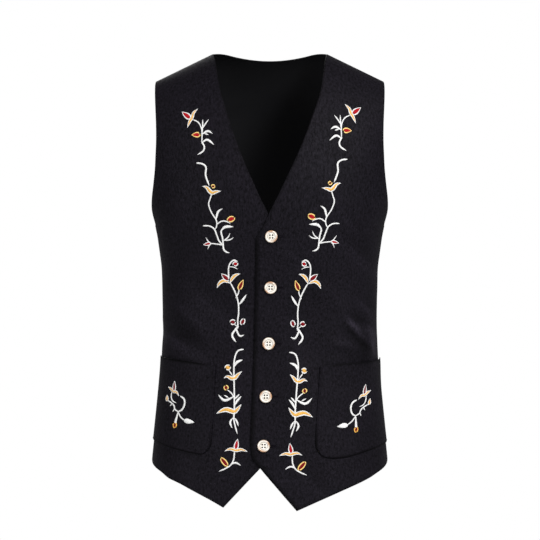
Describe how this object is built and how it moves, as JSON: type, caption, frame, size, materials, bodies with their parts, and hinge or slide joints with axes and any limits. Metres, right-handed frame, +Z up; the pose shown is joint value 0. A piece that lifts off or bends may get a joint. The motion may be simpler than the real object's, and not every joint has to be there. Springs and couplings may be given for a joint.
{
  "type": "embroidered waistcoat",
  "caption": "Sleeveless V-neck waistcoat in worn form: fronts buttoned over each other, plain back, patch pockets, pointed hem, floral sprigs.",
  "frame": {"origin": "midway between the two shoulder seams, at the height of their middles, where the wearer's shoulders hold it", "axes": "+X to the wearer's left, +Y to the wearer's back, +Z up"},
  "size_m": [0.3366, 0.242, 0.6501],
  "materials": {
    "cloth": "black cloth with a fine upright brushed rib and a soft sheen",
    "back_cloth": "plain smooth black cloth with a low sheen",
    "button": "polished cream with a mottled tan and brown rim",
    "embroidery": "satin-stitched thread in white, gold and red"
  },
  "bodies": {
    "root": {"front_left": "cloth", "front_right": "cloth", "back": "back_cloth", "pocket_left": "cloth", "pocket_right": "cloth", "button_1": "button", "button_2": "button", "button_3": "button", "button_4": "button", "button_5": "button"}
  },
  "joints": []
}
